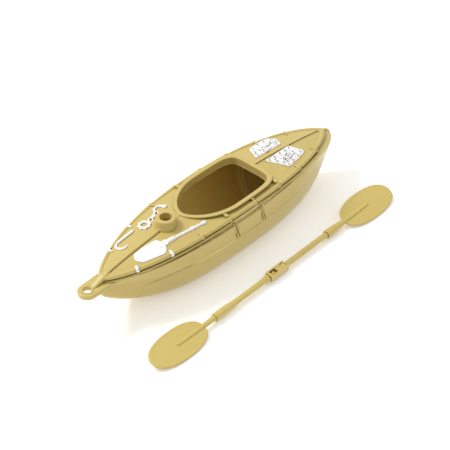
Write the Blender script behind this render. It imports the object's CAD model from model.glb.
"""Looks for the toy kayak and its folding paddle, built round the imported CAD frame.

Shapes are drawn in millimetres in the CAD frame (bow at -X, +Z up).
They are turned into metres when a piece is made.
"""
import math

import bmesh
import bpy
import numpy as np
from mathutils import Matrix, Vector


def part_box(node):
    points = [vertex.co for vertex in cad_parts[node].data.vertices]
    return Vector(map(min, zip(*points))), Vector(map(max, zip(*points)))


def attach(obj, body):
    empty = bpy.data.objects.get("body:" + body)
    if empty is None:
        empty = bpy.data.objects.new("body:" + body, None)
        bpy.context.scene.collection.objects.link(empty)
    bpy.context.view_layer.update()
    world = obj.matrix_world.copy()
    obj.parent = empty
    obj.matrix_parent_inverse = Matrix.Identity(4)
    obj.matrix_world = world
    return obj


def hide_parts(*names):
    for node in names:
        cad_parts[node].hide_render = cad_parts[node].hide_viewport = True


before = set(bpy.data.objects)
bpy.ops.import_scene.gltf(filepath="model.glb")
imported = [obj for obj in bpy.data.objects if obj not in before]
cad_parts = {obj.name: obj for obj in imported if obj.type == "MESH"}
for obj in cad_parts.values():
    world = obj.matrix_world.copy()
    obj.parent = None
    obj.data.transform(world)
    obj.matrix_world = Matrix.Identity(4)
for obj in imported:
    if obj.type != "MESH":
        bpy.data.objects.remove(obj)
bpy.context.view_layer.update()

MM = 0.001


def box_mm(node):
    low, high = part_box(node)
    return low / MM, high / MM


# ---- driving dimensions, in millimetres ----

TUBE_R = 1.7
tube_high = box_mm("gunwale_tube")[1]
DEPTH = tube_high.z
BEAM_HALF = tube_high.y - TUBE_R
DECK_HALF = round(tube_high.x - 1.6 * TUBE_R)
SHEER = 6.3
WALL = 1.6
CAMBER = 3.4
COCKPIT_FORE = 34.5
COCKPIT_AFT = 37.6
COCKPIT_HALF = 21.4
RIM_TOP = box_mm("cockpit_coaming")[1].z
HULL_FORE = DECK_HALF + 2
HULL_AFT = DECK_HALF + 11
BOW_TIP = HULL_FORE + 0.2
STERN_TIP = HULL_AFT + 0.4
RAKE_FROM = 25
STEM_HALF = 2.7
LIP_DROP = 3.3
SIDE_TOP_DROP = 5.4
SIDE_ROWS = 57
BILGE_ROWS = 56
CHINE_HALF = BEAM_HALF + 3.66
CHINE_Z = DEPTH - 18.8
KEEL_FLAT = 0.5
LIP_OUT = 1.4
CLIP_PITCH = 25.2
CLIP_X = [i * CLIP_PITCH - 13.9 for i in range(-3, 5)]
RIB_X = 13.2
SOCKET_X = -49

# ---- the boat's lines ----


def lerp(a, b, t):
    return a + (b - a) * t


def smooth_step(t):
    t = min(1, max(0, t))
    return t * t * (3 - 2 * t)


def ramp_between(value, low, high):
    return smooth_step((value - low) / (high - low))


def within(value, low, high, soft):
    """1 between low and high, fading to 0 over a distance of soft on each side."""
    return ramp_between(value, low - soft, low) * (1 - ramp_between(value, high, high + soft))


def crest_z(x):
    """Height of the gunwale's crest."""
    return DEPTH - SHEER * (x / DECK_HALF) ** 2


def outline_y(x, half, reach):
    """Half width of the deck's outline."""
    return half * max(0, 1 - min(1, abs(x) / reach) ** 2.4) ** 0.72


def deck_z(x, y):
    half = max(1, outline_y(x, BEAM_HALF, DECK_HALF))
    return crest_z(x) - 1 + CAMBER * half / BEAM_HALF * (1 - min(1, abs(y) / half) ** 1.3)


def cockpit_y(x, grow):
    """Half width of the cockpit's opening, grown outward."""
    if x < 0:
        return (COCKPIT_HALF + grow) * max(0, 1 - (x / (COCKPIT_FORE + grow)) ** 2) ** 0.6
    taper = 1 - 0.01 * x / COCKPIT_AFT
    return (COCKPIT_HALF + grow) * max(0, 1 - (x / (COCKPIT_AFT + grow)) ** 5.6) ** 0.179 * taper


def deck_edge(turn, grow):
    reach = DECK_HALF + 1.6 * grow
    x = reach * math.cos(turn)
    return x, math.copysign(outline_y(x, BEAM_HALF + grow, reach), math.sin(turn))


def cockpit_edge(turn, grow):
    reach = (COCKPIT_FORE if math.cos(turn) < 0 else COCKPIT_AFT) + grow
    x = reach * math.cos(turn)
    return x, math.copysign(cockpit_y(x, grow), math.sin(turn))


def hull_t(x):
    return min(1, abs(x) / (HULL_FORE if x < 0 else HULL_AFT))


def chine_y(x):
    fullness, ending = (2.8, 1.31) if x < 0 else (2.7, 1.17)
    return CHINE_HALF * (1 - hull_t(x) ** fullness) ** ending


def chine_height(x):
    return CHINE_Z + 3 * hull_t(x) ** 3


def keel_z(x):
    end_z = DEPTH - (20.7 if x < 0 else 19.3)
    rocker = 3.75 if x < 0 else 6.9
    rise = end_z - (end_z + KEEL_FLAT) * (1 - hull_t(x) ** rocker) ** 0.8
    return max(0, min(chine_height(x) - 1, rise))


def lip_y(x):
    """Half width of the hull's lip, which runs on past the deck's tip at the stern."""
    stern = outline_y(x, BEAM_HALF + 1.2, HULL_AFT + 1.5) if x > 0 else 0
    return max(outline_y(x, BEAM_HALF, DECK_HALF) + LIP_OUT, stern)


def side_y(x, z):
    """Half width of the hull's side between its lip and its chine."""
    top = crest_z(x) - 5.2
    low = chine_height(x)
    return lerp(chine_y(x), lip_y(x), min(1, max(0, (z - low) / (top - low))))


# ---- mesh tools ----


def grid_faces(rows, columns, wrap_rows=False, wrap_columns=True):
    """Quads over a grid of points numbered row by row."""
    faces = []
    for i in range(rows if wrap_rows else rows - 1):
        for j in range(columns if wrap_columns else columns - 1):
            a, b = i * columns + j, ((i + 1) % rows) * columns + j
            c, d = ((i + 1) % rows) * columns + (j + 1) % columns, i * columns + (j + 1) % columns
            faces.append((a, b, c, d))
    return faces


class Shape:
    """Points in millimetres and the faces between them, gathered from one or more closed bodies."""

    def __init__(self):
        self.points = []
        self.faces = []

    def add(self, points, faces, place=None):
        first = len(self.points)
        points = [Vector(p) for p in points]
        self.points += [place @ p for p in points] if place else points
        self.faces += [tuple(first + k for k in face) for face in faces]
        return self

    def loop(self, rings, place=None):
        """Closed cross sections joined in a closed loop."""
        points = [p for ring in rings for p in ring]
        return self.add(points, grid_faces(len(rings), len(rings[0]), wrap_rows=True), place)

    def run(self, rings, place=None):
        """Closed cross sections joined end to end, with a face over each end."""
        points = [p for ring in rings for p in ring]
        count = len(rings[0])
        last = len(points) - count
        ends = [tuple(range(count)), tuple(range(last, last + count))[::-1]]
        return self.add(points, grid_faces(len(rings), count) + ends, place)

    def shell(self, rings, place=None):
        """Like run, for thin hollow sections: each end is closed between its first and second half."""
        points = [p for ring in rings for p in ring]
        count = len(rings[0])
        faces = grid_faces(len(rings), count)
        for base in (0, len(points) - count):
            for j in range(count // 2 - 1):
                faces.append((base + j, base + j + 1, base + count - 2 - j, base + count - 1 - j))
        return self.add(points, faces, place)

    def turned(self, profile, place=None, steps=40):
        """(distance along X, radius) pairs turned about the X axis."""
        angles = [2 * math.pi * k / steps for k in range(steps)]
        rings = [[(s, r * math.cos(a), r * math.sin(a)) for a in angles] for s, r in profile]
        return self.run(rings, place)

    def turned_loop(self, profile, place=None, steps=64):
        """A closed (radius, height) outline turned about the Z axis."""
        angles = [2 * math.pi * k / steps for k in range(steps)]
        rings = [[(r * math.cos(a), r * math.sin(a), z) for r, z in profile] for a in angles]
        return self.loop(rings, place)

    def sweep(self, path, radius, steps=16, place=None):
        """A round bar along a path; radius is a number or a function of the share of the way along."""
        path = [Vector(p) for p in path]
        rings = []
        for i, point in enumerate(path):
            ahead = path[min(i + 1, len(path) - 1)] - path[max(i - 1, 0)]
            across = ahead.cross(Vector((0, 0, 1))).normalized()
            up = across.cross(ahead).normalized()
            r = radius(i / (len(path) - 1)) if callable(radius) else radius
            angles = [2 * math.pi * k / steps for k in range(steps)]
            rings.append([point + r * (math.cos(a) * across + math.sin(a) * up) for a in angles])
        return self.run(rings, place)

    def pad(self, outlines, low, high, edge, place=None):
        """A flat piece between two heights with rounded edges; outlines after the first are holes."""
        curve = bpy.data.curves.new("pad", "CURVE")
        curve.dimensions = "2D"
        curve.fill_mode = "BOTH"
        curve.extrude = (high - low) / 2 - edge
        curve.bevel_depth = edge
        curve.bevel_resolution = 3
        curve.offset = -edge
        for outline in outlines:
            spline = curve.splines.new("POLY")
            spline.points.add(len(outline) - 1)
            for point, (x, y) in zip(spline.points, outline):
                point.co = (x, y, 0, 1)
            spline.use_cyclic_u = True
        carrier = bpy.data.objects.new("pad", curve)
        bpy.context.scene.collection.objects.link(carrier)
        mesh = carrier.evaluated_get(bpy.context.evaluated_depsgraph_get()).to_mesh()
        middle = Vector((0, 0, (high + low) / 2))
        self.add([v.co + middle for v in mesh.vertices], [tuple(p.vertices) for p in mesh.polygons], place)
        bpy.data.objects.remove(carrier)
        bpy.data.curves.remove(curve)
        return self


def rounded(outline, radius, steps=4, closed=True):
    """The outline with each corner turned into a short curve that starts radius before it."""
    count = len(outline)
    result = []
    for k, corner in enumerate(outline):
        if not closed and k in (0, count - 1):
            result.append(tuple(corner))
            continue
        here = Vector(corner)
        before, after = Vector(outline[k - 1]), Vector(outline[(k + 1) % count])
        start = here + (before - here) * min(0.5, radius / max((before - here).length, 1e-6))
        end = here + (after - here) * min(0.5, radius / max((after - here).length, 1e-6))
        for s in range(steps + 1):
            t = s / steps
            result.append(tuple(start * (1 - t) ** 2 + here * 2 * t * (1 - t) + end * t * t))
    return result


def rectangle(left, right, low, high):
    return [(left, low), (right, low), (right, high), (left, high)]


def piece(name, shape, body, material, nodes=(), sharp=38, body_place=None):
    """Makes an object in metres from a shape in millimetres, and fastens it to its body."""
    mesh = bpy.data.meshes.new(name)
    points = [body_place @ p for p in shape.points] if body_place else shape.points
    mesh.from_pydata([tuple(MM * p) for p in points], [], shape.faces)
    work = bmesh.new()
    work.from_mesh(mesh)
    bmesh.ops.remove_doubles(work, verts=work.verts, dist=0.004 * MM)
    bmesh.ops.dissolve_degenerate(work, edges=work.edges, dist=0.002 * MM)
    bmesh.ops.recalc_face_normals(work, faces=work.faces)
    work.to_mesh(mesh)
    work.free()
    mesh.shade_smooth()
    mesh.set_sharp_from_angle(angle=math.radians(sharp))
    mesh.materials.append(material)
    made = bpy.data.objects.new(name, mesh)
    bpy.context.scene.collection.objects.link(made)
    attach(made, body)
    if nodes:
        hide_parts(*nodes)
    return made


# ---- materials ----


class Nodes:
    """A short way to write the node tree of a material or a world."""

    def __init__(self, owner):
        owner.use_nodes = True
        self.owner = owner
        self.tree = owner.node_tree
        self.shader = self.tree.nodes.get("Principled BSDF")

    def add(self, kind, **settings):
        node = self.tree.nodes.new(kind)
        for key, value in settings.items():
            if key in node.inputs:
                self.feed(node.inputs[key], value)
            else:
                setattr(node, key, value)
        return node

    def feed(self, socket, value):
        if isinstance(value, bpy.types.NodeSocket):
            self.tree.links.new(value, socket)
        else:
            socket.default_value = value

    def noise(self, where, scale, detail=3.0, roughness=0.55):
        node = self.add("ShaderNodeTexNoise", Scale=scale, Detail=detail, Roughness=roughness)
        self.feed(node.inputs["Vector"], where)
        return node.outputs["Fac"]

    def ramp(self, value, low, high, start=0.0, end=1.0):
        node = self.add("ShaderNodeMapRange", interpolation_type="SMOOTHSTEP")
        sockets = ("Value", "From Min", "From Max", "To Min", "To Max")
        for socket, number in zip(sockets, (value, low, high, start, end)):
            self.feed(node.inputs[socket], number)
        return node.outputs["Result"]

    def mix(self, share, first, second):
        node = self.add("ShaderNodeMix", data_type="RGBA")
        for socket, value in ((node.inputs[0], share), (node.inputs[6], first), (node.inputs[7], second)):
            self.feed(socket, value)
        return node.outputs[2]

    def maths(self, operation, first, second=0.0):
        node = self.add("ShaderNodeMath", operation=operation)
        self.feed(node.inputs[0], first)
        self.feed(node.inputs[1], second)
        return node.outputs[0]


def srgb(red, green, blue):
    """A colour given as 0 to 255 screen values, as linear light."""
    def linear(value):
        value /= 255
        return value / 12.92 if value <= 0.04045 else ((value + 0.055) / 1.055) ** 2.4
    return (linear(red), linear(green), linear(blue), 1)


def crevice(nodes, distance, opening=0.72, depth=0.12, samples=16):
    """0 on open surfaces, rising to 1 deep in grooves and corners."""
    node = nodes.add("ShaderNodeAmbientOcclusion", Distance=distance * MM, samples=samples)
    return nodes.ramp(node.outputs["AO"], opening, depth)


def stretched(nodes, x, y, z):
    where = nodes.add("ShaderNodeTexCoord").outputs["Object"]
    mapping = nodes.add("ShaderNodeMapping", Scale=(x, y, z))
    nodes.feed(mapping.inputs["Vector"], where)
    return where, mapping.outputs["Vector"]


def inside_cockpit(nodes):
    """1 on faces below the cockpit's rim that look inward or up, 0 elsewhere; and the place, in metres."""
    geometry = nodes.add("ShaderNodeNewGeometry")
    at = nodes.add("ShaderNodeSeparateXYZ", Vector=geometry.outputs["Position"])
    facing = nodes.add("ShaderNodeSeparateXYZ", Vector=geometry.outputs["Normal"])
    outward = nodes.maths("MULTIPLY", facing.outputs["Y"], at.outputs["Y"])
    outward = nodes.maths("ADD", outward, nodes.maths("MULTIPLY", facing.outputs["X"], 0.012))
    inward = nodes.ramp(outward, 0.0, -0.004)
    level = nodes.ramp(facing.outputs["Z"], 0.2, 0.4)
    floor = nodes.maths("MULTIPLY", level, nodes.ramp(at.outputs["Z"], 0.034, 0.030))
    along = nodes.ramp(nodes.maths("ABSOLUTE", at.outputs["X"]), 0.050, 0.046)
    below = nodes.maths("MULTIPLY", nodes.ramp(at.outputs["Z"], 0.0430, 0.0424), along)
    return nodes.maths("MULTIPLY", nodes.maths("MAXIMUM", inward, floor), below), at


def moulded_plastic(name, light, deep, crease, gloss=0.32, grime=0.9, hollow=False):
    """Semi-gloss moulded plastic: slow flow marks, a fine satin skin, small scuffs and dark creases."""
    nodes = Nodes(bpy.data.materials.new(name))
    where, along = stretched(nodes, 0.35, 1.0, 1.0)
    flow = nodes.ramp(nodes.noise(along, 42, 4), 0.35, 0.68)
    mottle = nodes.ramp(nodes.noise(where, 260, 3), 0.4, 0.7)
    colour = nodes.mix(nodes.maths("MULTIPLY", flow, 0.22), light, deep)
    colour = nodes.mix(nodes.maths("MULTIPLY", mottle, 0.1), colour, deep)
    specks = nodes.ramp(nodes.noise(where, 1500, 2), 0.70, 0.78)
    colour = nodes.mix(nodes.maths("MULTIPLY", specks, 0.15), colour, crease)
    shade = nodes.maths("MULTIPLY", crevice(nodes, 3.2, 0.80, 0.35), 0.55)
    colour = nodes.mix(shade, colour, crease)
    colour = nodes.mix(nodes.maths("MULTIPLY", crevice(nodes, 1.1, 0.62, 0.2), grime), colour, crease)
    if hollow:
        inside, at = inside_cockpit(nodes)
        tone = nodes.mix(nodes.ramp(at.outputs["X"], -0.03, 0.03), srgb(236, 214, 132), srgb(186, 156, 76))
        colour = nodes.mix(inside, colour, tone)
    nodes.feed(nodes.shader.inputs["Base Color"], colour)
    scuffs = nodes.ramp(nodes.noise(along, 520, 5, 0.7), 0.45, 0.75)
    nodes.feed(nodes.shader.inputs["Roughness"], nodes.ramp(scuffs, 0, 1, gloss - 0.02, gloss + 0.06))
    nodes.shader.inputs["IOR"].default_value = 1.52
    skin = nodes.noise(where, 2600, 2)
    wave = nodes.noise(where, 110, 2)
    height = nodes.maths("ADD", nodes.maths("MULTIPLY", skin, 0.10), nodes.maths("MULTIPLY", wave, 0.22))
    bump = nodes.add("ShaderNodeBump", Strength=0.15, Distance=0.10 * MM, Height=height)
    nodes.feed(nodes.shader.inputs["Normal"], bump.outputs["Normal"])
    return nodes.owner


def silver_paint(name, wear):
    """Satin silver paint over the tan relief, rubbed through in specks and grimy in the creases."""
    nodes = Nodes(bpy.data.materials.new(name))
    where, _ = stretched(nodes, 1, 1, 1)
    cloud = nodes.ramp(nodes.noise(where, 180, 3), 0.35, 0.7)
    colour = nodes.mix(cloud, srgb(250, 250, 250), srgb(232, 231, 230))
    fine = nodes.noise(where, 620, 4, 0.62)
    patchy = nodes.noise(where, 95, 2)
    rubbed = nodes.maths("ADD", fine, nodes.maths("MULTIPLY", patchy, 0.25))
    worn = nodes.ramp(rubbed, 0.84 - wear, 0.90 - wear)
    colour = nodes.mix(nodes.maths("MULTIPLY", worn, 0.8), colour, srgb(120, 108, 76))
    grime = nodes.maths("MULTIPLY", crevice(nodes, 1.0), 0.8)
    colour = nodes.mix(grime, colour, srgb(84, 72, 46))
    nodes.feed(nodes.shader.inputs["Base Color"], colour)
    nodes.feed(nodes.shader.inputs["Metallic"], nodes.ramp(worn, 0, 1, 0.18, 0))
    nodes.feed(nodes.shader.inputs["Roughness"], nodes.ramp(fine, 0.3, 0.7, 0.3, 0.48))
    bump = nodes.add("ShaderNodeBump", Strength=0.4, Distance=0.06 * MM, Height=fine)
    nodes.feed(nodes.shader.inputs["Normal"], bump.outputs["Normal"])
    return nodes.owner


BROWN = srgb(84, 58, 10)
TAN = moulded_plastic("tan_plastic", srgb(197, 176, 104), srgb(184, 160, 82), BROWN)
HOLLOW_TAN = moulded_plastic("hull_plastic", srgb(199, 178, 106), srgb(186, 162, 84), BROWN, hollow=True)
PADDLE_TAN = moulded_plastic("paddle_plastic", srgb(205, 183, 104), srgb(193, 167, 83), srgb(96, 70, 16))
GRIME = moulded_plastic("dark_hole", srgb(74, 60, 30), srgb(58, 44, 18), srgb(30, 20, 5), 0.5)
SILVER = silver_paint("silver_paint", 0.02)
SPECKLED = silver_paint("speckled_silver_paint", 0.12)
PATCHY = silver_paint("patchy_silver_paint", 0.18)


def on_boat(name, shape, *nodes, sharp=38, material=TAN, slot="tan_plastic"):
    return piece(name, shape, "kayak", material, nodes, sharp)


# ---- hull and deck ----


def ending(x, tip, length):
    """1 along the boat, falling to 0 at the tip as the side of an ellipse does."""
    share = (abs(x) - (tip - length)) / length
    return math.sqrt(max(0, 1 - share * share)) if share > 0 else 1


def panel_top(x):
    return 38.3 - 0.0006 * max(0, -x - 30) ** 2


def crease_at(x):
    return CHINE_Z + 0.9 - 0.0019 * max(0, -x - 35) ** 2


def rib_at(x, share):
    """Where a rib stands at a share of its way down; it leans aft as it goes."""
    return x + 1.6 + 0.3 * share + 3.1 * share * share


def rib_groove(x, z, rib_x):
    """The groove along the stern side of a rib."""
    top, low = crest_z(rib_x) - SIDE_TOP_DROP, CHINE_Z - 0.4
    share = (top - z) / (top - low)
    behind = x - rib_at(rib_x, min(1, max(0, share)))
    return -1.0 * within(behind, 0.8, 1.3, 0.5) * within(share, 0.04, 0.96, 0.06)


def side_relief(x, z):
    """How far the hull's side stands out: three raised panels end to end, with a groove above and below."""
    top, low = panel_top(x), crease_at(x)
    fore_panel = ramp_between(x, -100, -70) * (1 - ramp_between(x, -11.4, -10.6))
    middle_panel = within(x, -8.2, 14.4, 0.5)
    aft_panel = 0.55 * ramp_between(x, 18.0, 18.8) * (1 - ramp_between(x, 40, 62))
    up = min(1, max(0, (z - low) / (top - low)))
    panel = within(z, low, top, 0.35) * (0.55 + 0.6 * up)
    groove = -0.5 * within(z, top + 0.4, top + 1.0, 0.3)
    crease = -0.8 * within(z, low - 0.85, low - 0.5, 0.35)
    ridge = 0.5 * middle_panel * within(z, low - 1.5, low - 1.2, 0.3)
    under_lip = -0.55 * within(z, crest_z(x) - 5.5, crest_z(x) - 4.9, 0.35)
    under_lip *= (1 - middle_panel) * ramp_between(x, -108, -98)
    ribs_behind = sum(rib_groove(x, z, at) for at in (-RIB_X, RIB_X))
    panels = (fore_panel + middle_panel + aft_panel) * (panel + groove + crease)
    return panels + ridge + under_lip + ribs_behind


def hull_half(x, inset, closing, cover):
    """Half a section of the hull from its lip to the keel, set in by inset.

    closing narrows it towards a tip, and cover lifts its inside to the lip.
    """
    top = crest_z(x) - LIP_DROP
    chine = (chine_y(x) ** 4 + STEM_HALF ** 4) ** 0.25
    yl, yc = max(0.2, lip_y(x) - inset), max(0.2, chine - inset)
    zc = chine_height(x)
    keel = keel_z(x) + inset
    relief = (lambda z: 0) if inset else (lambda z: side_relief(x, z))
    bead = 0 if inset else 1.3 - 0.9 * within(x, -12, 16, 4)
    points = []
    for k in range(9):
        turn = math.radians(90 - 180 * k / 8)
        points.append((yl + bead * max(0, math.cos(turn)), top - 0.55 + 0.55 * math.sin(turn)))
    for k in range(1, SIDE_ROWS):
        t = k / SIDE_ROWS
        z = lerp(top - 1.1, zc, t)
        points.append((lerp(yl, yc, t) + 0.35 * math.sin(math.pi * t) + relief(z), z))
    points.append((yc + relief(zc), zc))
    for k in range(BILGE_ROWS + 1):
        turn = math.pi / 2 * (k / BILGE_ROWS) ** 1.25
        z = zc - (zc - keel) * math.sin(turn) ** 0.77
        points.append(((yc + relief(z) * min(1, 4 * math.cos(turn))) * math.cos(turn) ** 0.61, z))
    shaped = []
    for y, z in points:
        lid = top + 0.9 * (1 - min(1, abs(y) / max(yl, 0.1)) ** 2)
        z = lerp(z, lid, cover) if inset else z
        middle = lerp(keel_z(x), top, 0.6)
        shaped.append((y * closing, lerp(middle, z, 1 - 0.22 * (1 - closing))))
    return shaped


def hull_stations():
    """Stations close together along the sides and closer still at the two ends."""
    fore, aft = -BOW_TIP, STERN_TIP
    stations = [lerp(fore, fore + 12, 1 - math.cos(math.pi / 2 * k / 36)) for k in range(36)]
    stations += [lerp(fore + 12, aft - 14, k / 330) for k in range(330)]
    stations += [lerp(aft - 14, aft, math.sin(math.pi / 2 * k / 44)) for k in range(45)]
    return [x * 0.99999 for x in stations]


def raked(point):
    """The stern leans: above RAKE_FROM it ends shorter the higher it goes."""
    x, y, z = point
    above = max(0, z - RAKE_FROM)
    return x - 0.34 * above * ramp_between(x, 96, 122), y, z


def hull():
    rings = []
    for x in hull_stations():
        closing = ending(x, BOW_TIP, 3.4) if x < 0 else ending(x, STERN_TIP, 6.5)
        cover_from = DECK_HALF - (9 if x < 0 else 26)
        cover = smooth_step((abs(x) - cover_from) / 4)
        outer = hull_half(x, 0, closing, 0)
        inner = hull_half(x, WALL, closing, cover)
        ring = [(x, -y, z) for y, z in outer] + [(x, y, z) for y, z in reversed(outer[:-1])]
        ring += [(x, y, z) for y, z in inner] + [(x, -y, z) for y, z in reversed(inner[:-1])]
        rings.append([raked(point) for point in ring])
    shape = Shape().shell(rings)
    replaced = ("hull_shell", "bow_stem", "stern_post", "side_panels")
    on_boat("hull", shape, *replaced, sharp=50, material=HOLLOW_TAN)


def stern_nub():
    top = DEPTH - 8.6
    profile = [(-3.5, 2.0), (-1.2, 1.8), (-0.5, 1.6), (-0.1, 1.1), (0, 0.01)]
    place = Matrix.Translation((DECK_HALF + 4.8, 0, top)) @ Matrix.Rotation(-math.pi / 2, 4, "Y")
    on_boat("stern_nub", Shape().turned(profile, place))


def deck_top(x, y):
    """The deck's surface with its ridge ahead of the cockpit and its groove behind it."""
    ahead = within(x, -106.5, SOCKET_X - 6, 1.5)
    ridge = within(y, -1.35, 0.6, 0.35) * 0.55 + within(y, -1.2, -0.2, 1.5) * 0.25
    foot = -0.75 * within(y, -2.05, -1.85, 0.25)
    behind = within(x, COCKPIT_AFT + 2.6, DECK_HALF - 3.4, 0.8)
    groove = -1.15 * within(y, -0.45, 0.3, 0.25) + 0.2 * within(y, -1.5, -0.9, 0.5)
    pit = -0.6 * within(x, DECK_HALF - 5.5, DECK_HALF - 3.6, 0.6) * within(y, -0.8, 0.8, 0.3)
    return deck_z(x, y) + ahead * (ridge + foot) + behind * groove + pit


def deck_stations():
    reach, fore, aft = DECK_HALF - 0.5, COCKPIT_FORE + 0.3, COCKPIT_AFT + 0.3
    quarter = math.pi / 2
    stations = [-fore - (reach - fore) * math.sin(quarter * k / 70) for k in range(70, 0, -1)]
    stations += [-fore * math.cos(quarter * k / 50) for k in range(50)]
    stations += [aft * math.sin(quarter * k / 50) for k in range(51)]
    stations += [aft + (reach - aft) * math.sin(quarter * k / 70) for k in range(1, 71)]
    return stations


def deck_row(x, side):
    """Points across one half of the deck, close together near its inner edge."""
    inside = -COCKPIT_FORE - 0.3 < x < COCKPIT_AFT + 0.3
    low = cockpit_y(x, 0.3) if inside else 0
    high = max(low + 0.05, outline_y(x, BEAM_HALF - 0.3, DECK_HALF - 0.48))
    fine, coarse = 14, 20
    band = min(2.8, 0.3 * (high - low))
    ys = [low + band * k / fine for k in range(fine)]
    ys += [lerp(low + band, high, k / coarse) for k in range(coarse + 1)]
    return [(x, side * y) for y in ys]


def deck():
    """The deck's two halves, meeting on the centreline ahead of the cockpit and behind it."""
    shape = Shape()
    stations = deck_stations()
    for side in (-1, 1):
        rows = [deck_row(x, side) for x in stations]
        count = len(rows[0])
        above = [(x, y, deck_top(x, y)) for row in rows for x, y in row]
        below = [(x, y, deck_z(x, y) - WALL) for row in rows for x, y in row]
        under = len(above)
        faces = grid_faces(len(rows), count, wrap_columns=False)
        faces += [tuple(k + under for k in face) for face in faces]
        for i in range(len(rows) - 1):
            here, there = i * count, (i + 1) * count
            if abs(rows[i][0][1]) + abs(rows[i + 1][0][1]) > 0:
                faces.append((here, there, there + under, here + under))
            last = count - 1
            faces.append((here + last, there + last, there + last + under, here + last + under))
        for base in (0, (len(rows) - 1) * count):
            for j in range(base, base + count - 1):
                faces.append((j, j + 1, j + 1 + under, j + under))
        shape.add(above + below, faces)
    on_boat("deck", shape, "deck_shell", "foredeck_bead", "aftdeck_bead", sharp=50)


def coaming():
    """The cockpit's rim: a thin upright wall under a flat lip that overhangs the deck."""
    foot, top = DEPTH - 3.4, RIM_TOP
    outline = [(-1.2, foot), (-1.2, top), (1.9, top), (1.9, top - 1.25), (0.5, top - 1.45), (0.5, foot)]
    outline = rounded(outline, 0.55, 6)
    around = 400
    rings = []
    for i in range(around):
        turn = 2 * math.pi * (i + 0.5) / around
        rings.append([(*cockpit_edge(turn, grow), z) for grow, z in outline])
    on_boat("coaming", Shape().loop(rings), "cockpit_coaming", sharp=45)


def seam_strip():
    """The rough moulding seam that runs round the cockpit's wall just below its rim."""
    around = 360
    rings = []
    for i in range(around):
        turn = 2 * math.pi * (i + 0.5) / around
        rough = 0.18 * math.sin(19 * turn) * math.sin(7 * turn + 1) + 0.1 * math.sin(53 * turn)
        gap = 0.7 * (within(turn, 1.95, 2.02, 0.02) + within(turn, 1.50, 1.60, 0.02))
        out = 0.55 + rough - gap
        outline = [(0.6, 41.5), (0.6, 42.5), (-0.7 - out, 42.4), (-0.9 - out, 42.1), (-0.7 - out, 41.7)]
        rings.append([(*cockpit_edge(turn, grow), z) for grow, z in outline])
    on_boat("seam_strip", Shape().loop(rings), sharp=50)


def rod_radius(x):
    """The gunwale's radius: each rod starts slender behind one clip and swells towards the next."""
    starts = [-DECK_HALF - 4] + CLIP_X
    start = max(s for s in starts if s <= x + 1e-6)
    along = (x - start) / CLIP_PITCH
    radius = 1.4 + 0.3 * smooth_step(along)
    return radius - 0.75 * (within(x, start + 1.3, start + 1.9, 0.35) if start > starts[0] else 0)


def gunwale():
    around, sides = 1500, 20
    rings = []
    for i in range(around):
        turn = 2 * math.pi * (i + 0.5) / around
        middle = deck_edge(turn, 0)[0]
        radius = rod_radius(middle)
        ring = []
        for j in range(sides):
            side = 2 * math.pi * j / sides
            x, y = deck_edge(turn, -radius * math.cos(side))
            ring.append((x, y, crest_z(x) - TUBE_R + radius * math.sin(side)))
        rings.append(ring)
    on_boat("gunwale", Shape().loop(rings), "gunwale_tube", sharp=60)


# ---- fittings ----


def socket():
    base = box_mm("accessory_socket")[0].z
    tall = box_mm("accessory_socket")[1].z - base
    outside, bore = 6.95, 4.25
    floor, foot = 1.6, outside + 0.5
    profile = [(0, 0), (foot, 0), (foot, 1.2), (outside, 2.3), (outside, tall), (bore, tall)]
    profile += [(bore, floor), (0, floor)]
    profile = [(max(r, 0.002), z) for r, z in profile]
    profile = profile[:2] + rounded(profile[2:6], 0.8, 6, closed=False) + profile[6:]
    shape = Shape().turned_loop(profile, Matrix.Translation((SOCKET_X, 0, base)))
    web = rounded(rectangle(outside - 1.2, outside + 6.5, -1.4, 1.4), 0.3, 3)
    shape.pad([web], 0, 1.9, 0.4, Matrix.Translation((SOCKET_X, 0, base)))
    on_boat("accessory_socket_boss", shape, "accessory_socket", sharp=40)


def tow_tab():
    """The towing lug: a flat nose with a rimmed eye, and a wedge that climbs to the bow's tip."""
    low, high = box_mm("bow_tow_tab")
    top, thick, nose = DEPTH - 10.3, 3.4, 6.9
    eye_x = low.x + nose
    root_x, root_half = -(DECK_HALF - 10), 7.8
    reach = root_x - eye_x
    lean = math.asin((root_half - nose) / math.hypot(reach, root_half - nose))
    outline = [(root_x, -root_half), (root_x, root_half)]
    for k in range(49):
        turn = math.pi / 2 + lean + (math.pi - 2 * lean) * k / 48
        outline.append((eye_x + nose * math.cos(turn), nose * math.sin(turn)))
    hole = [(eye_x + 3 * math.cos(a), 3 * math.sin(a)) for a in np.linspace(0, 2 * math.pi, 41)[:-1]]
    shape = Shape().pad([outline, hole], top - thick, top, 0.7)
    ring = [(3.0, -1), (4.3, -1), (4.2, 0.1), (3.9, 0.4), (3.4, 0.4), (3.1, 0.15)]
    shape.turned_loop(ring, Matrix.Translation((eye_x, 0, top)))
    heights = [(lerp(-118.6, -108.5, k / 20), lerp(0.3, 4.4, k / 20)) for k in range(21)] + [(-104, 4.4)]
    ridge = []
    for x, h in heights:
        section = [(-2.5, -0.3), (-2.4, h - 0.3), (-1.9, h), (1.9, h), (2.4, h - 0.3), (2.5, -0.3)]
        ridge.append([(x, y, top + up) for y, up in section])
    shape.run(ridge)
    on_boat("tow_tab", shape, "bow_tow_tab", sharp=40)


def clip_place(x, side):
    y = outline_y(x, BEAM_HALF, DECK_HALF)
    turn = math.atan(outline_y(x + 1, BEAM_HALF, DECK_HALF) - y)
    place = Matrix.Translation((x, y, crest_z(x) - TUBE_R)) @ Matrix.Rotation(turn, 4, "Z")
    return Matrix.Diagonal((1, side, 1, 1)) @ place


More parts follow.
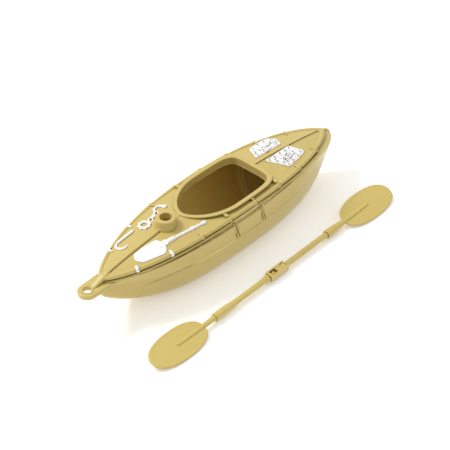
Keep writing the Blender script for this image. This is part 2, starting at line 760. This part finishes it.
def clips():
    """Small saddles at the end of each rod, each with a foot on the deck; those by the bow are painted."""
    plain, painted = Shape(), Shape()
    profile = [(-1.2, 1.5), (-1.0, 1.8), (-0.5, 1.95), (0.4, 2.1), (0.8, 2.1), (1.0, 1.95), (1.15, 1.6)]
    for number, x in enumerate(CLIP_X):
        for side in (-1, 1):
            saddle, reach = (painted, -2.5) if number < 2 else (plain, -3.3)
            place = clip_place(x, side)
            rings = [[(s, r * math.cos(a), r * math.sin(a)) for a in np.linspace(0, 2 * math.pi, 29)[:-1]]
                     for s, r in profile]
            saddle.run(rings, place)
            foot = rounded([(-0.7, reach), (0.8, reach), (0.9, 0), (-0.8, 0)], 0.4, 3)
            saddle.pad([foot], -0.6, TUBE_R + 0.2, 0.3, place)
    on_boat("edge_clip_set", plain, "edge_clips")
    on_boat("edge_clip_tips", painted, material=SPECKLED, slot="silver_paint")


def straps():
    shape = Shape()
    for x in CLIP_X[3:6]:
        inner, outer = cockpit_y(x, 0.7), outline_y(x, BEAM_HALF, DECK_HALF) - 1
        for side in (-1, 1):
            outline = rounded([(-1.1, inner), (1.1, inner), (1.1, outer), (-1.1, outer)], 0.3, 2)
            place = Matrix.Diagonal((1, side, 1, 1)) @ Matrix.Translation((x, 0, deck_z(x, inner)))
            shape.pad([outline], -0.8, 1.5, 0.35, place)
    on_boat("deck_strap_set", shape, "deck_straps")


def rib(shape, x, side):
    """A batten across the hull's side, leaning aft as it goes down."""
    rows = 40
    rings = []
    for k in range(rows + 1):
        t = k / rows
        at = rib_at(x, t)
        top, low = crest_z(at) - SIDE_TOP_DROP, chine_height(at) - 0.4
        z = lerp(top, low, t)
        ends = min(1, 0.25 + 6 * min(t, 1 - t))
        half, proud = 0.7, 1.5 * ends
        face = side_y(at, z) + 0.35 * math.sin(math.pi * t)
        outline = [(-half - 0.2, -0.6), (-half, 0.3 * proud), (-half * 0.5, proud)]
        outline += [(half * 0.6, proud), (half, 0.2), (half, -0.6)]
        outline = rounded(outline, 0.25, 2)
        rings.append([(at + u, side * (face + v), z) for u, v in outline])
    shape.run(rings)


def ribs():
    shape = Shape()
    for side in (-1, 1):
        for x in (-RIB_X, RIB_X):
            rib(shape, x, side)
    on_boat("side_rib_set", shape, "side_ribs")


# ---- silver details ----


def in_plan(x, y, turn=0.0, flip=False):
    """A place over the deck, seen from above; drape then lets the piece down onto the surface."""
    place = Matrix.Translation((x, y, 0)) @ Matrix.Rotation(math.radians(turn), 4, "Z")
    return place @ Matrix.Diagonal((1, -1, 1, 1)) if flip else place


def drape(shape):
    for point in shape.points:
        point.z += deck_z(point.x, point.y)
    return shape


def arc(radius, start, sweep, height=0.2, steps=28):
    return [(radius * math.cos(math.radians(start + sweep * k / steps)),
             radius * math.sin(math.radians(start + sweep * k / steps)), height) for k in range(steps + 1)]


def silver(name, shape, *nodes, material=SILVER):
    return on_boat(name, drape(shape), *nodes, material=material, slot="silver_paint", sharp=40)


def shovel():
    blade = [(-11.8, 0.6), (-11.6, 3.4), (-9.6, 6), (0, 5.9), (9.4, 4.4), (10.6, 3.2)]
    blade += [(11.6, -3.2), (9, -6.8), (6.6, -8.2), (4.6, -8), (-9.6, -3.2)]
    shape = Shape().pad([rounded(blade, 1.6, 4)], -0.6, 0.7, 0.35, in_plan(-73.7, -9.5))
    shaft = [(-18, 0.02), (-18, 1.1), (-13.2, 1.15), (-12.9, 1.6), (-8, 1.6), (-7.6, 1.05)]
    shaft += [(5.6, 1.0), (6, 1.45), (7.8, 1.45), (8.2, 1.0), (14.8, 0.95), (15.1, 1.35)]
    shaft += [(17.8, 1.3), (18.3, 0.8), (18.5, 0.02)]
    place = in_plan(-45.9, -14.1, -9.8) @ Matrix.Translation((0, 0, 0.3))
    shape.turned(rounded(shaft, 0.25, 3, closed=False), place)
    collar = rounded([(-6, -2.2), (2, -2.2), (2, 2.2), (-6, 2.2)], 0.8, 3)
    shape.pad([collar], -0.6, 1.0, 0.3, in_plan(-61.3, -11.3, -9.8))
    silver("shovel_relief", shape, "shovel")


def grapple():
    shape = Shape()
    hook = in_plan(-81.2, 9.9)
    shape.sweep(arc(3.9, 86, 214, 0.25), lambda t: 0.9 - 0.35 * smooth_step((t - 0.8) / 0.2), 16, hook)
    rope = in_plan(-72.4, 13.7, -1)
    strands = 2
    for strand in range(strands):
        path = []
        for k in range(81):
            s = k / 80
            turn = 2 * math.pi * (s * 4 + strand / strands)
            path.append((-9.6 + 16 * s, 0.5 * math.cos(turn), 0.35 + 0.5 * math.sin(turn)))
        shape.sweep(path, lambda t: 0.72 * min(1, 0.3 + 12 * min(t, 1 - t)), 12, rope)
    silver("grapple_hook_relief", shape, "grapple_hook")


def ring():
    teeth = 8
    outline = []
    for k in range(128):
        turn = 2 * math.pi * k / 128
        radius = 4.55 + 0.42 * math.cos(teeth * turn)
        outline.append((radius * math.cos(turn), radius * math.sin(turn)))
    hole = [(2.4 * math.cos(a), 2.4 * math.sin(a)) for a in np.linspace(0, 2 * math.pi, 41)[:-1]]
    shape = Shape().pad([outline, hole], -0.6, 1.1, 0.45, in_plan(-57.9, 11.6, 10))
    silver("line_ring_relief", shape, "line_ring", material=SPECKLED)


def chain():
    shape = Shape()
    for k in range(3):
        link = in_plan(-51.4 + 3.5 * k, 12.1 + 0.9 * k, 20)
        tilt = Matrix.Rotation(math.radians(28 * (-1) ** k), 4, "X")
        loop = [(1.9 * math.cos(a), 1.35 * math.sin(a), 0.35) for a in np.linspace(0, 2 * math.pi, 33)[:-1]]
        rings = []
        for i, (x, y, z) in enumerate(loop):
            out = Vector((x, y, 0)).normalized()
            rings.append([Vector((x, y, z)) + 0.65 * (math.cos(a) * out + math.sin(a) * Vector((0, 0, 1)))
                          for a in np.linspace(0, 2 * math.pi, 15)[:-1]])
        shape.loop(rings, link @ tilt)
    silver("line_chain_relief", shape, "line_chain", material=SPECKLED)


def loose_hook():
    thin = lambda t: 0.95 - 0.3 * smooth_step((t - 0.75) / 0.25)
    shape = Shape().sweep(arc(3.6, -12, 190, 0.25), thin, 16, in_plan(-39.5, 15.4))
    angles = np.linspace(-math.pi / 2, math.pi / 2, 17)
    knob = [(1.65 * math.sin(a) * 0.999, max(1.65 * math.cos(a), 0.01)) for a in angles]
    shape.turned(knob, in_plan(-35.4, 14.3) @ Matrix.Translation((0, 0, 0.2)))
    silver("stowed_hook_relief", shape, "stowed_hook", material=SPECKLED)


PORT_PLATE = [(-15.5, -7.6), (-5.7, 7.1), (8.1, 4.3), (14.3, 2.5), (15.8, 0.2), (10.4, -9.2)]
STARBOARD_PLATE = [(-13.4, -4.1), (-7.7, 7.8), (4, 9.9), (13, 8.6), (16, 3.6), (12.6, -4.1)]
PORT_EYELETS = [(8.9, -7.3), (3.9, -6.7), (-1.7, -5.9), (-6.9, -6.4), (-12.7, -5.8), (-9.2, -1.9), (-6, 1.8),
                (-4.7, 5.3), (12.7, 0.6), (7.7, 2.7), (0.9, 4.0)]
STARBOARD_EYELETS = [(-8.6, 0.8), (-10.3, -2.6), (-6, 5.6), (0.4, 7.4), (6.4, 7.2), (12.4, 6), (12.6, 1.5),
                     (9.8, -2.4), (3.6, -2.4), (-3.6, -2.4)]
PORT_KNOBS = [(7.2, -1.6, 1.5), (3.4, -1.5, 0.9), (0.8, -0.6, 0.8), (-3.4, -1.2, 1.2)]
STARBOARD_KNOBS = [(-1.2, 1.4, 1.3), (5.3, 2.4, 1.4), (8.6, 3.4, 0.9), (-4.6, 1.2, 0.8)]


def upright(place, x, y):
    return place @ Matrix.Translation((x, y, 0)) @ Matrix.Rotation(-math.pi / 2, 4, "Y")


def eyelets(rings, cores, place, spots):
    """Small raised rings, each round a dark hole."""
    for x, y in spots:
        here = place @ Matrix.Translation((x, y, 0))
        outline = [(0.6, 0.2), (0.6, 0.9), (0.75, 1.05), (1.0, 0.95), (1.15, 0.6), (1.15, 0.2)]
        rings.turned_loop(outline, here, 24)
        cores.turned([(0.3, 0.01), (0.3, 0.68), (0.8, 0.68), (0.82, 0.01)], upright(place, x, y), 16)


def plate_fittings(brackets, cores, place, knobs, lean):
    """The raised bars and round bosses in the middle of a plate."""
    turn = Matrix.Rotation(math.radians(lean), 4, "Z")
    for x, y, long, wide in ((0.5, -3.4, 9, 0.9), (3.6, 0.8, 8, 0.9), (-1.2, -1.2, 0.9, 5.2)):
        bar = rectangle(-long / 2, long / 2, -wide / 2, wide / 2)
        brackets.pad([rounded(bar, 0.3, 3)], 0.3, 1.4, 0.25, place @ turn @ Matrix.Translation((x, y, 0)))
    for x, y, r in knobs:
        wall = [(r * 0.55, 0.2), (r * 0.55, 1.3), (r * 0.75, 1.55), (r, 1.3), (r, 0.2)]
        brackets.turned_loop(wall, place @ Matrix.Translation((x, y, 0)), 28)
        cores.turned([(0.3, 0.01), (0.3, r * 0.6), (1.1, r * 0.6), (1.12, 0.01)], upright(place, x, y), 16)


def plates():
    rims, rivets, brackets, cores = Shape(), Shape(), Shape(), Shape()
    port = ("port", in_plan(63.2, -9.7, flip=True), PORT_PLATE, PORT_EYELETS, PORT_KNOBS, -16)
    starboard = ("starboard", in_plan(59.5, 8.9), STARBOARD_PLATE, STARBOARD_EYELETS, STARBOARD_KNOBS, 14)
    for side, place, outline, spots, knobs, lean in (port, starboard):
        middle = Vector((0.4, 0 if side == "port" else 2.2))
        rim = [tuple(middle + (Vector(p) - middle) * 1.05) for p in outline]
        rims.pad([rounded(rim, 1.0, 4)], -0.6, 0.3, 0.2, place)
        shape = Shape().pad([rounded(outline, 0.9, 3)], -0.6, 0.6, 0.2, place)
        silver("patch_plate_" + side + "_relief", shape, "patch_plate_" + side, material=PATCHY)
        eyelets(rivets, cores, place, spots)
        plate_fittings(brackets, cores, place, knobs, lean)
    on_boat("plate_rim_set", drape(rims))
    on_boat("plate_core_set", drape(cores), material=GRIME)
    silver("plate_rivet_set", rivets, "plate_rivets")
    silver("plate_bracket_set", brackets, "plate_brackets")


# ---- paddle, drawn along +X from the middle of its shaft ----

PADDLE_LEN = 246.6
BLADE_LEN, BLADE_W, BLADE_T = 50.6, 24, 1.4
BLADE_TILT = math.radians(17)
SHAFT_R = 2.15
FOLD_AT = 8.1
frame_low, frame_high = box_mm("joint_frame")
PADDLE_Z = (frame_low.z + frame_high.z) / 2
PADDLE_PLACE = Matrix.Translation((1.6, -54.8, PADDLE_Z)) @ Matrix.Rotation(math.radians(1.1), 4, "Z")
TO_LEFT = Matrix.Diagonal((-1, 1, 1, 1))


def on_paddle(name, shape, body, *nodes, sharp=38):
    return piece(name, shape, body, PADDLE_TAN, nodes, sharp, PADDLE_PLACE)


def blade(shape, start, place):
    """A thin oval blade with a soft raised edge, and a round spine that ends at mid-blade."""
    tilt = place @ Matrix.Rotation(BLADE_TILT, 4, "X")
    middle = PADDLE_LEN / 2 - BLADE_LEN / 2
    around = 144
    levels = [0.0, 0.25, 0.5, 0.7, 0.82, 0.88, 0.92, 0.95, 0.975, 0.99, 1.0]

    def height(share):
        rim = 0.16 * math.exp(-((share - 0.93) / 0.03) ** 2)
        edge = math.sqrt(max(0, 1 - ((share - 0.95) / 0.05) ** 2)) if share > 0.95 else 1
        return (BLADE_T / 2 + rim) * edge

    rings = []
    for i in range(around):
        turn = 2 * math.pi * i / around
        x = BLADE_LEN / 2 * math.copysign(abs(math.cos(turn)) ** 0.86, math.cos(turn))
        y = BLADE_W / 2 * math.copysign(abs(math.sin(turn)) ** 0.86, math.sin(turn))
        top = [(middle + x * s, y * s, height(s)) for s in levels]
        under = [(middle + x * s, y * s, -height(s)) for s in reversed(levels[:-1])]
        rings.append(top + under)
    points = [p for ring in rings for p in ring]
    faces = grid_faces(around, len(rings[0]), wrap_rows=True, wrap_columns=False)
    shape.add(points, faces, tilt)
    end = middle + 1
    spine = [(start, 0.02)]
    for k in range(25):
        t = k / 24
        spine.append((lerp(start, end - 0.3, t), lerp(SHAFT_R - 0.05, 1.5, t ** 0.9)))
    spine += [(end - 0.05, 1.35), (end, 0.02)]
    shape.turned(spine, tilt)


def left_half():
    blade_shape = Shape()
    blade(blade_shape, 62.5, TO_LEFT)
    neck = [(56, 0.02), (56, 1.8), (63, 1.8), (64.5, SHAFT_R - 0.1), (66, 0.02)]
    blade_shape.turned(neck, TO_LEFT)
    on_paddle("left_blade", blade_shape, "paddle_left", "blade_left")
    shaft = [(2.3, 0.02), (2.3, 1.3), (8.3, 1.3), (8.3, 2.75), (10.5, 2.75), (10.7, SHAFT_R), (38, SHAFT_R)]
    shaft += [(54, 3.0), (62.4, 3.0), (62.4, 1.86), (55.8, 1.86), (55.8, 0.02)]
    shape = Shape().turned(rounded(shaft, 0.35, 4, closed=False), TO_LEFT)
    ball = [(2.5 + 1.9 * math.sin(a) * 0.999, max(0.01, 1.9 * math.cos(a)))
            for a in np.linspace(-math.pi / 2, math.pi / 2, 25)]
    shape.turned(ball, TO_LEFT)
    on_paddle("left_shaft", shape, "paddle_left", "shaft_left")


def right_half():
    ear_gap = 4.3
    shape = Shape()
    knuckle = [(-ear_gap / 2, 0.96), (-ear_gap / 2, SHAFT_R), (ear_gap / 2, SHAFT_R), (ear_gap / 2, 0.96)]
    hub = Matrix.Translation((FOLD_AT, 0, 0)) @ Matrix.Rotation(math.pi / 2, 4, "X")
    shape.turned_loop([(r, z) for z, r in rounded(knuckle, 0.25, 3)], hub)
    shaft = [(FOLD_AT + 1.4, 0.02), (FOLD_AT + 1.4, SHAFT_R), (60, SHAFT_R), (60, 0.02)]
    shape.turned(rounded(shaft, 0.15, 3, closed=False))
    on_paddle("right_shaft", shape, "paddle_right", "shaft_right")
    blade_shape = Shape()
    blade(blade_shape, 62, Matrix.Identity(4))
    sleeve = [(60.1, 0.02), (60.1, SHAFT_R + 0.03), (53.6, SHAFT_R + 0.03), (53.6, 3.1)]
    sleeve += [(62, 3.1), (73, 1.9), (74, 0.02)]
    blade_shape.turned(rounded(sleeve, 0.35, 4, closed=False))
    on_paddle("right_blade", blade_shape, "paddle_right", "blade_right")


def softened_copy(name, node, body, material, width, corner=30):
    """A copy of an exact CAD piece with its flat faces cleaned and its corners rounded."""
    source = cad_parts[node]
    mesh = source.data.copy()
    mesh.materials.clear()
    mesh.materials.append(material)
    made = bpy.data.objects.new(name, mesh)
    bpy.context.scene.collection.objects.link(made)
    work = bmesh.new()
    work.from_mesh(mesh)
    bmesh.ops.remove_doubles(work, verts=work.verts, dist=0.002 * MM)
    bmesh.ops.dissolve_limit(work, angle_limit=math.radians(2), verts=work.verts, edges=work.edges)
    corners = [e for e in work.edges if e.is_manifold and e.calc_face_angle(0) > math.radians(corner)]
    shape = {"segments": 3, "profile": 0.5, "affect": "EDGES", "clamp_overlap": True}
    bmesh.ops.bevel(work, geom=corners, offset=width * MM, **shape)
    bmesh.ops.recalc_face_normals(work, faces=work.faces)
    work.to_mesh(mesh)
    work.free()
    mesh.shade_smooth()
    mesh.set_sharp_from_angle(angle=math.radians(40))
    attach(made, body)
    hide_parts(node)
    return made


# ---- build ----

hull()
stern_nub()
deck()
coaming()
seam_strip()
gunwale()
socket()
tow_tab()
clips()
straps()
ribs()
shovel()
grapple()
ring()
chain()
loose_hook()
plates()
left_half()
right_half()
softened_copy("joint_cage", "joint_frame", "paddle_joint", PADDLE_TAN, 0.28)
softened_copy("fold_pin", "hinge_pin", "paddle_joint", PADDLE_TAN, 0.15)
softened_copy("inner_frames", "cockpit_frames", "kayak", HOLLOW_TAN, 0.2)
softened_copy("pin_set", "locating_pins", "kayak", TAN, 0.3)


# ---- stage, light and camera ----


def room():
    """A bright ceiling above walls that are dimmer, and dimmest on the camera's side."""
    world = bpy.data.worlds.new("room")
    bpy.context.scene.world = world
    nodes = Nodes(world)
    where = nodes.add("ShaderNodeTexCoord").outputs["Generated"]
    parts = nodes.add("ShaderNodeSeparateXYZ", Vector=where)
    ceiling = nodes.ramp(parts.outputs["Z"], 0.05, 0.75)
    ahead = nodes.maths("MULTIPLY", parts.outputs["X"], 0.73)
    away = nodes.maths("ADD", ahead, nodes.maths("MULTIPLY", parts.outputs["Y"], 0.68))
    walls = nodes.ramp(away, -0.8, 0.5, 0.30, 0.75)
    extra = nodes.maths("MULTIPLY", ceiling, nodes.maths("SUBTRACT", 0.85, walls))
    strength = nodes.maths("ADD", walls, extra)
    background = nodes.tree.nodes["Background"]
    background.inputs["Color"].default_value = (1, 1, 1, 1)
    nodes.feed(background.inputs["Strength"], strength)


def studio():
    """A pale floor under a broad soft light from behind the boat's port bow, with a bright room around."""
    size = 6
    mesh = bpy.data.meshes.new("floor")
    corners = [(x, y, 0) for x, y in rectangle(-size, size, -size, size)]
    mesh.from_pydata(corners, [], [(0, 1, 2, 3)])
    floor = bpy.data.objects.new("floor", mesh)
    bpy.context.scene.collection.objects.link(floor)
    paper = Nodes(bpy.data.materials.new("floor_paper"))
    paper.feed(paper.shader.inputs["Base Color"], (0.93, 0.925, 0.915, 1))
    paper.feed(paper.shader.inputs["Roughness"], 0.75)
    paper.feed(paper.shader.inputs["Emission Color"], (1, 0.995, 0.98, 1))
    paper.feed(paper.shader.inputs["Emission Strength"], 0.26)
    mesh.materials.append(paper.owner)
    room()

    def panel(name, position, width, power, aim=(0, 0, 0.02)):
        light = bpy.data.lights.new(name, "AREA")
        light.size = width
        light.energy = power
        lamp = bpy.data.objects.new(name, light)
        lamp.location = position
        lamp.rotation_mode = "QUATERNION"
        lamp.rotation_quaternion = (Vector(aim) - Vector(position)).to_track_quat("-Z", "Y")
        bpy.context.scene.collection.objects.link(lamp)

    panel("key", (-0.55, 0.85, 1.35), 0.45, 17)
    bpy.context.scene.view_settings.view_transform = "Standard"


def camera():
    """Long lens from over the port bow."""
    azimuth, elevation, distance = math.radians(-46.9), math.radians(39.7), 1.4505
    aim = Vector((0.0010, -0.0077, 0.02))
    level = math.cos(elevation)
    back = Vector((math.sin(azimuth) * level, -math.cos(azimuth) * level, math.sin(elevation)))
    data = bpy.data.cameras.new("camera")
    data.lens, data.sensor_width = 168, 36
    data.clip_start, data.clip_end = 0.05, 20
    made = bpy.data.objects.new("camera", data)
    made.location = aim + back * distance
    made.rotation_mode = "QUATERNION"
    made.rotation_quaternion = (-back).to_track_quat("-Z", "Y")
    bpy.context.scene.collection.objects.link(made)
    bpy.context.scene.camera = made


studio()
camera()
